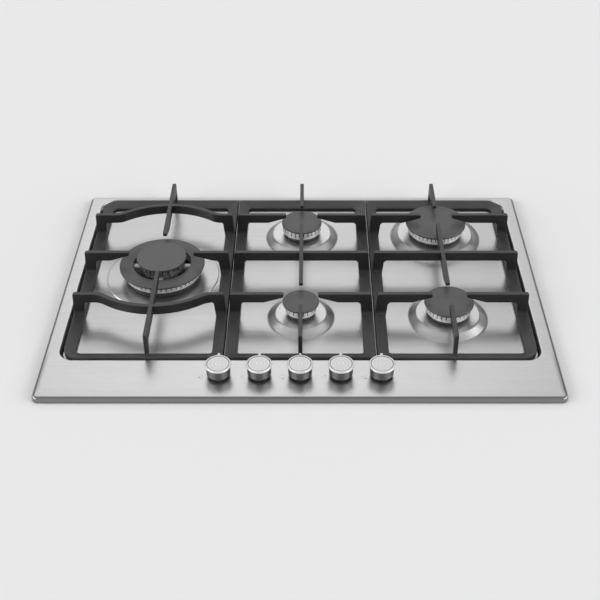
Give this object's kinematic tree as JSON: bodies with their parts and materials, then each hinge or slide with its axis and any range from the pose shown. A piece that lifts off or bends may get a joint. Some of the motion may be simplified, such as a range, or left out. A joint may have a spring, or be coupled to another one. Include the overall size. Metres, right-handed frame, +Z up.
{
  "type": "gas cooktop",
  "caption": "Built-in stainless gas cooktop with cast pan supports over a ring wok burner and round burners, front row of push-and-turn knobs, gas taps and tray beneath.",
  "frame": {"origin": "centre of the plate's outline on the worktop's surface, which is the underside of the rim seal", "axes": "+X to the right as seen from the knobs, +Y to the back, +Z up out of the worktop"},
  "size_m": [0.75, 0.52, 0.1],
  "materials": {
    "brushed_stainless": "brushed along X",
    "seal_foam": "matte foam",
    "galvanised_tray": "dull galvanised",
    "galvanised_bracket": "dull galvanised",
    "zinc_screw": "bright zinc",
    "brass": "turned",
    "igniter_ceramic": "glazed ceramic",
    "sensor_steel": "heat tinted",
    "cast_aluminium": "shot blasted",
    "cup_aluminium": "cast",
    "cap_enamel": "matte enamel",
    "grate_enamel": "matte enamel",
    "black_rubber": "matte",
    "spun_knob": "spun top, satin side",
    "spindle_steel": "turned",
    "tube_aluminium": "drawn",
    "tap_casting": "die cast",
    "black_plastic": "moulded",
    "white_plastic": "moulded",
    "pipe_steel": "zinc plated pipe"
  },
  "bodies": {
    "hob": {"hob_top": "brushed_stainless", "rim_seal": "seal_foam", "base_box": "galvanised_tray", "side_brackets": "galvanised_bracket", "box_screws": "zinc_screw", "burner_screws": "zinc_screw", "injectors": "brass", "spark_plugs": "igniter_ceramic", "thermocouples": "sensor_steel", "burner_body_wok": "cup_aluminium", "supply_tube_wok": "tube_aluminium", "burner_body_rear_centre": "cup_aluminium", "supply_tube_rear_centre": "tube_aluminium", "burner_body_front_centre": "cup_aluminium", "supply_tube_front_centre": "tube_aluminium", "burner_body_rear_right": "cup_aluminium", "supply_tube_rear_right": "tube_aluminium", "burner_body_front_right": "cup_aluminium", "supply_tube_front_right": "tube_aluminium", "tap_bodies": "tap_casting", "tap_bracket": "galvanised_bracket", "ignition_switches": "black_plastic", "gas_manifold": "pipe_steel", "inlet_elbow": "brass", "tube_nuts": "brass", "cable_gland": "black_plastic", "spark_generator": "white_plastic"},
    "tap_wok": {"tap_plug_wok": "brass"},
    "knob_wok": {"knob_wok": "spun_knob", "tap_spindle_wok": "spindle_steel"},
    "tap_rear_centre": {"tap_plug_rear_centre": "brass"},
    "knob_rear_centre": {"knob_rear_centre": "spun_knob", "tap_spindle_rear_centre": "spindle_steel"},
    "tap_front_centre": {"tap_plug_front_centre": "brass"},
    "knob_front_centre": {"knob_front_centre": "spun_knob", "tap_spindle_front_centre": "spindle_steel"},
    "tap_rear_right": {"tap_plug_rear_right": "brass"},
    "knob_rear_right": {"knob_rear_right": "spun_knob", "tap_spindle_rear_right": "spindle_steel"},
    "tap_front_right": {"tap_plug_front_right": "brass"},
    "knob_front_right": {"knob_front_right": "spun_knob", "tap_spindle_front_right": "spindle_steel"},
    "support_left": {"pan_support_left": "grate_enamel", "support_feet_left": "black_rubber"},
    "support_middle": {"pan_support_middle": "grate_enamel", "support_feet_middle": "black_rubber"},
    "support_right": {"pan_support_right": "grate_enamel", "support_feet_right": "black_rubber"},
    "crown_wok": {"crown_wok": "cast_aluminium"},
    "cap_wok_ring": {"cap_wok_ring": "cap_enamel"},
    "cap_wok_centre": {"cap_wok_centre": "cap_enamel"},
    "crown_rear_centre": {"crown_rear_centre": "cast_aluminium"},
    "cap_rear_centre": {"cap_rear_centre": "cap_enamel"},
    "crown_front_centre": {"crown_front_centre": "cast_aluminium"},
    "cap_front_centre": {"cap_front_centre": "cap_enamel"},
    "crown_rear_right": {"crown_rear_right": "cast_aluminium"},
    "cap_rear_right": {"cap_rear_right": "cap_enamel"},
    "crown_front_right": {"crown_front_right": "cast_aluminium"},
    "cap_front_right": {"cap_front_right": "cap_enamel"}
  },
  "joints": [
    {"name": "turn_wok", "type": "hinge", "parent": "hob", "child": "tap_wok", "pos_m": [-0.116, -0.212, 0], "axis": [0, 0, 1], "range_deg": [0, 210]},
    {"name": "push_wok", "type": "slide", "parent": "tap_wok", "child": "knob_wok", "axis": [0, 0, -1], "range_m": [0, 0.003], "stiffness_N_per_m": 1500, "springref_m": -0.002},
    {"name": "turn_rear_centre", "type": "hinge", "parent": "hob", "child": "tap_rear_centre", "pos_m": [-0.058, -0.212, 0], "axis": [0, 0, 1], "range_deg": [0, 210]},
    {"name": "push_rear_centre", "type": "slide", "parent": "tap_rear_centre", "child": "knob_rear_centre", "axis": [0, 0, -1], "range_m": [0, 0.003], "stiffness_N_per_m": 1500, "springref_m": -0.002},
    {"name": "turn_front_centre", "type": "hinge", "parent": "hob", "child": "tap_front_centre", "pos_m": [0, -0.212, 0], "axis": [0, 0, 1], "range_deg": [0, 210]},
    {"name": "push_front_centre", "type": "slide", "parent": "tap_front_centre", "child": "knob_front_centre", "axis": [0, 0, -1], "range_m": [0, 0.003], "stiffness_N_per_m": 1500, "springref_m": -0.002},
    {"name": "turn_rear_right", "type": "hinge", "parent": "hob", "child": "tap_rear_right", "pos_m": [0.058, -0.212, 0], "axis": [0, 0, 1], "range_deg": [0, 210]},
    {"name": "push_rear_right", "type": "slide", "parent": "tap_rear_right", "child": "knob_rear_right", "axis": [0, 0, -1], "range_m": [0, 0.003], "stiffness_N_per_m": 1500, "springref_m": -0.002},
    {"name": "turn_front_right", "type": "hinge", "parent": "hob", "child": "tap_front_right", "pos_m": [0.116, -0.212, 0], "axis": [0, 0, 1], "range_deg": [0, 210]},
    {"name": "push_front_right", "type": "slide", "parent": "tap_front_right", "child": "knob_front_right", "axis": [0, 0, -1], "range_m": [0, 0.003], "stiffness_N_per_m": 1500, "springref_m": -0.002},
    {"name": "lift_support_left", "type": "slide", "parent": "hob", "child": "support_left", "axis": [0, 0, 1], "range_m": [0, 0.15]},
    {"name": "lift_support_middle", "type": "slide", "parent": "hob", "child": "support_middle", "axis": [0, 0, 1], "range_m": [0, 0.15]},
    {"name": "lift_support_right", "type": "slide", "parent": "hob", "child": "support_right", "axis": [0, 0, 1], "range_m": [0, 0.15]},
    {"name": "lift_crown_wok", "type": "slide", "parent": "hob", "child": "crown_wok", "axis": [0, 0, 1], "range_m": [0, 0.045]},
    {"name": "lift_cap_wok_ring", "type": "slide", "parent": "crown_wok", "child": "cap_wok_ring", "axis": [0, 0, 1], "range_m": [0, 0.03]},
    {"name": "lift_cap_wok_centre", "type": "slide", "parent": "crown_wok", "child": "cap_wok_centre", "axis": [0, 0, 1], "range_m": [0, 0.0525]},
    {"name": "lift_crown_rear_centre", "type": "slide", "parent": "hob", "child": "crown_rear_centre", "axis": [0, 0, 1], "range_m": [0, 0.045]},
    {"name": "lift_cap_rear_centre", "type": "slide", "parent": "crown_rear_centre", "child": "cap_rear_centre", "axis": [0, 0, 1], "range_m": [0, 0.045]},
    {"name": "lift_crown_front_centre", "type": "slide", "parent": "hob", "child": "crown_front_centre", "axis": [0, 0, 1], "range_m": [0, 0.045]},
    {"name": "lift_cap_front_centre", "type": "slide", "parent": "crown_front_centre", "child": "cap_front_centre", "axis": [0, 0, 1], "range_m": [0, 0.045]},
    {"name": "lift_crown_rear_right", "type": "slide", "parent": "hob", "child": "crown_rear_right", "axis": [0, 0, 1], "range_m": [0, 0.045]},
    {"name": "lift_cap_rear_right", "type": "slide", "parent": "crown_rear_right", "child": "cap_rear_right", "axis": [0, 0, 1], "range_m": [0, 0.045]},
    {"name": "lift_crown_front_right", "type": "slide", "parent": "hob", "child": "crown_front_right", "axis": [0, 0, 1], "range_m": [0, 0.045]},
    {"name": "lift_cap_front_right", "type": "slide", "parent": "crown_front_right", "child": "cap_front_right", "axis": [0, 0, 1], "range_m": [0, 0.045]}
  ],
  "couplings": [
    {"joint": "lift_crown_wok", "follows": "lift_support_left", "ratio": 0.3},
    {"joint": "lift_cap_wok_ring", "follows": "lift_support_left", "ratio": 0.2},
    {"joint": "lift_cap_wok_centre", "follows": "lift_support_left", "ratio": 0.35},
    {"joint": "lift_crown_rear_centre", "follows": "lift_support_middle", "ratio": 0.3},
    {"joint": "lift_cap_rear_centre", "follows": "lift_support_middle", "ratio": 0.3},
    {"joint": "lift_crown_front_centre", "follows": "lift_support_middle", "ratio": 0.3},
    {"joint": "lift_cap_front_centre", "follows": "lift_support_middle", "ratio": 0.3},
    {"joint": "lift_crown_rear_right", "follows": "lift_support_right", "ratio": 0.3},
    {"joint": "lift_cap_rear_right", "follows": "lift_support_right", "ratio": 0.3},
    {"joint": "lift_crown_front_right", "follows": "lift_support_right", "ratio": 0.3},
    {"joint": "lift_cap_front_right", "follows": "lift_support_right", "ratio": 0.3}
  ]
}
